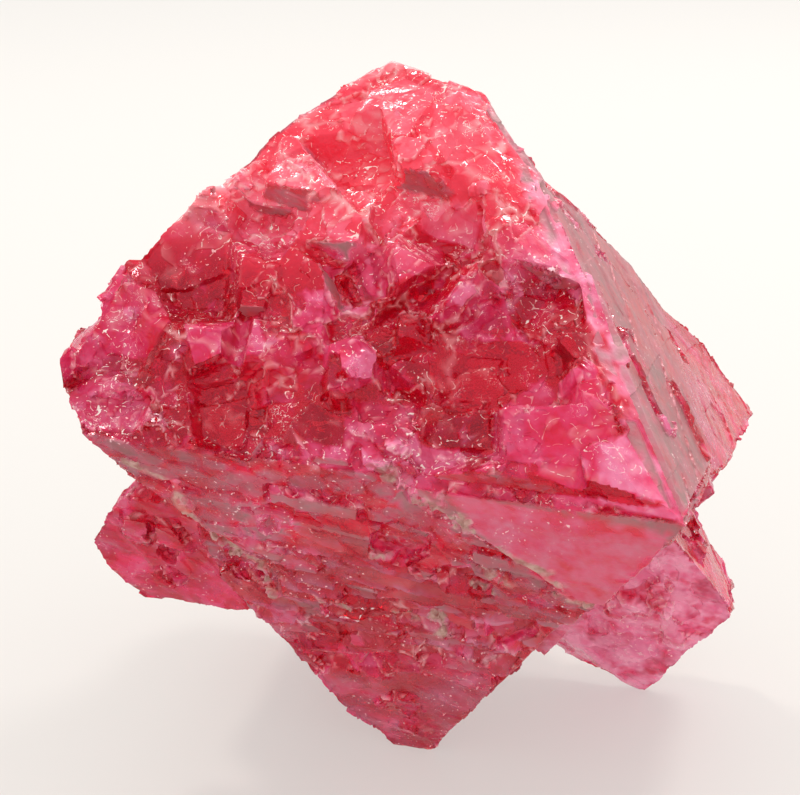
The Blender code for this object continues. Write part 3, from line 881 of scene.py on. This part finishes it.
def crystalMaterial():
    n = Nodes("spinelStone")
    where = n.add("TexCoord").outputs["Object"]
    tint = n.attribute("tint")
    clear = n.attribute("clear")
    dustShadeSheen = n.attribute("dustShadeSheen")
    rimAndShine = n.attribute("rimAndShine")
    crust = n.attribute("crust")
    paintedBacklight = n.attribute("paintedBacklight")
    milky = n.attribute("haze")

    cloud = n.noise(where, stone["cloudScale"], 2.0, 0.6)
    haze = n.noise(where, stone["hazeScale"], 2.0, 0.65)
    fine = n.noise(where, stone["fineScale"], 2.0, 0.65)
    grit = n.noise(where, stone["gritScale"], 1.0, 0.6)
    # painted highlights: tiny bright specks
    glintSpeck = n.math("MULTIPLY", n.ramp(grit, 0.70, 0.73), n.ramp(cloud, 0.44, 0.54))

    # painted highlights: broken lines of light along tiny steps, more of them where the stone faces up
    glintsFacingUp = n.attribute("glintsFacingUp")
    steps = n.math("ABSOLUTE", n.math("SUBTRACT", n.noise(where, stone["stepScale"], 1.0), 0.5))
    tiny = n.math("ABSOLUTE", n.math("SUBTRACT", fine, 0.5))
    glints = n.math("MULTIPLY", n.ramp(steps, 0.011, 0.004), n.ramp(grit, 0.50, 0.56))
    glints = n.math("MAXIMUM", glints, n.math("MULTIPLY", n.ramp(tiny, 0.009, 0.003), n.ramp(haze, 0.56, 0.62)))
    often = n.math("ADD", n.ramp(cloud, 0.50, 0.58, 0.0, 0.5), n.math("MULTIPLY", glintsFacingUp, 0.8))
    often = n.math("ADD", often, n.math("MULTIPLY", rimAndShine, 0.6))
    glints = n.math("MULTIPLY", glints, n.math("MULTIPLY", often, n.math("SUBTRACT", 1.0, dustShadeSheen)), clamp=True)

    # how pale the stone is here, from deep red to pink
    depth = n.math("ADD", tint, n.ramp(cloud, 0.3, 0.7, -0.20, 0.20))
    depth = n.math("ADD", depth, n.ramp(haze, 0.35, 0.65, -0.14, 0.14))
    depth = n.math("ADD", depth, n.ramp(fine, 0.35, 0.65, -0.08, 0.10))
    deep = n.mix(n.ramp(depth, 0.15, 0.50), stone["crimson"], stone["rose"])
    cool = n.mix(n.ramp(depth, 0.52, 0.98), deep, stone["palePink"])
    backlitColour = n.mix(n.ramp(depth, 0.30, 0.85), stone["backlitRed"], stone["backlitPink"])
    # painted backlight: the warm colours near the top
    colour = n.mix(paintedBacklight, cool, backlitColour)
    # milky veil; where it follows the strip beside the ridge it is painted light
    veil = n.math("MULTIPLY", milky, n.ramp(haze, 0.38, 0.60, 0.15, 0.95))
    colour = n.mix(veil, colour, stone["milk"])
    # dust film, partly a painted grey sheen of the pale floor and painted shade on the down-facing grown faces
    dustShadeSheenCover = n.math("MULTIPLY", dustShadeSheen, n.ramp(haze, 0.30, 0.66, 0.55, 1.0))
    colour = n.mix(dustShadeSheenCover, colour, stone["dustShadeSheenColour"])
    # pale rims, partly painted highlight along the edges
    colour = n.mix(n.math("MULTIPLY", rimAndShine, 0.55, clamp=True), colour, stone["rimAndShineColour"])
    colour = n.mix(n.math("MULTIPLY", glintSpeck, 0.8), colour, stone["rimAndShineColour"])
    colour = n.mix(glints, colour, stone["glintColour"])
    rock = n.mix(n.ramp(fine, 0.35, 0.62), stone["rockShade"], stone["rockColour"])
    colour = n.mix(n.math("MULTIPLY", crust, n.ramp(haze, 0.36, 0.56, 0.25, 0.95)), colour, rock)

    # see-through where the stone is clean

    transmission = n.math("MULTIPLY", clear, n.ramp(haze, 0.3, 0.7, 0.92, 0.68))
    shares = ((dustShadeSheen, 0.38), (veil, 0.9), (paintedBacklight, 0.75), (rimAndShine, 0.5), (glintSpeck, 0.8), (glints, 0.9), (crust, 1.0))
    for mask, share in shares:
        kept = n.math("SUBTRACT", 1.0, n.math("MULTIPLY", mask, share))
        transmission = n.math("MULTIPLY", transmission, kept)

    rough = n.math("ADD", n.ramp(clear, 0.4, 1.0, 0.20, 0.05), n.ramp(haze, 0.3, 0.7, -0.02, 0.10))
    rough = n.math("ADD", rough, n.math("MULTIPLY", dustShadeSheen, 0.22))
    rough = n.math("ADD", rough, n.math("MULTIPLY", crust, 0.5))
    height = n.math("ADD", fine, n.math("MULTIPLY", grit, 0.4))
    bump = n.add("Bump", {"Strength": stone["bumpStrength"], "Distance": stone["bumpDepth"], "Height": height})
    shader = n.add("BsdfPrincipled", {
        "Base Color": colour, "Roughness": rough, "IOR": stone["ior"],
        "Specular IOR Level": stone["gloss"], "Specular Tint": stone["glossTint"],
        "Transmission Weight": transmission, "Normal": bump.outputs[0],
    })
    inside = n.add("VolumeAbsorption", {"Color": stone["depthColour"], "Density": stone["depthDensity"]})
    n.add("OutputMaterial", {"Surface": shader.outputs[0], "Volume": inside.outputs[0]})
    n.material.cycles.homogeneous_volume = True
    return n.material


crystal.data.materials.append(crystalMaterial())
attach(crystal, "root")
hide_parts("spinel_crystal")
print("crystal finished")

studio = {
    "floorColour": (0.31, 0.302, 0.29, 1),
    "floorGlow": (1.0, 0.97, 0.94, 1),
    "floorGlowStrength": 0.44,
    "world": (1.0, 0.985, 0.96, 1),
    "worldStrength": 1.12,
    "lamps": (                # azimuth, elevation, distance, size, power, colour
        ("backLeft", -150, 52, 0.45, 0.06, 0.52, (1.0, 0.92, 0.82)),
        ("backRight", 142, 40, 0.50, 0.12, 0.82, (1.0, 0.96, 0.91)),
    ),
}


def makeFloor():
    bm = bmesh.new()
    bmesh.ops.create_grid(bm, x_segments=1, y_segments=1, size=3.0)
    mesh = bpy.data.meshes.new("floor")
    bm.to_mesh(mesh)
    bm.free()
    floor = bpy.data.objects.new("floor", mesh)
    bpy.context.scene.collection.objects.link(floor)
    n = Nodes("paleFloor")
    shader = n.add("BsdfPrincipled", {
        "Base Color": studio["floorColour"], "Roughness": 0.6,
        "Emission Color": studio["floorGlow"], "Emission Strength": studio["floorGlowStrength"],
    })
    n.add("OutputMaterial", {"Surface": shader.outputs[0]})
    mesh.materials.append(n.material)


def areaLight(name, azimuth, elevation, distance, size, power, colour):
    lamp = bpy.data.lights.new(name, "AREA")
    lamp.shape = "DISK"
    lamp.size = size
    lamp.energy = power
    lamp.color = colour
    light = bpy.data.objects.new(name, lamp)
    around = math.radians(azimuth)
    rise = math.radians(elevation)
    way = Vector((math.sin(around) * math.cos(rise), -math.cos(around) * math.cos(rise), math.sin(rise)))
    target = Vector(view["aim"]) * mm
    light.location = target + way * distance
    light.rotation_euler = way.to_track_quat("Z", "Y").to_euler()
    bpy.context.scene.collection.objects.link(light)


def makeStudio():
    world = bpy.data.worlds.new("studio")
    world.use_nodes = True
    background = world.node_tree.nodes["Background"]
    background.inputs["Color"].default_value = studio["world"]
    background.inputs["Strength"].default_value = studio["worldStrength"]
    bpy.context.scene.world = world
    for lamp in studio["lamps"]:
        areaLight(*lamp)
    bpy.context.scene.view_settings.view_transform = "Standard"


makeFloor()
makeStudio()
print("studio lit")
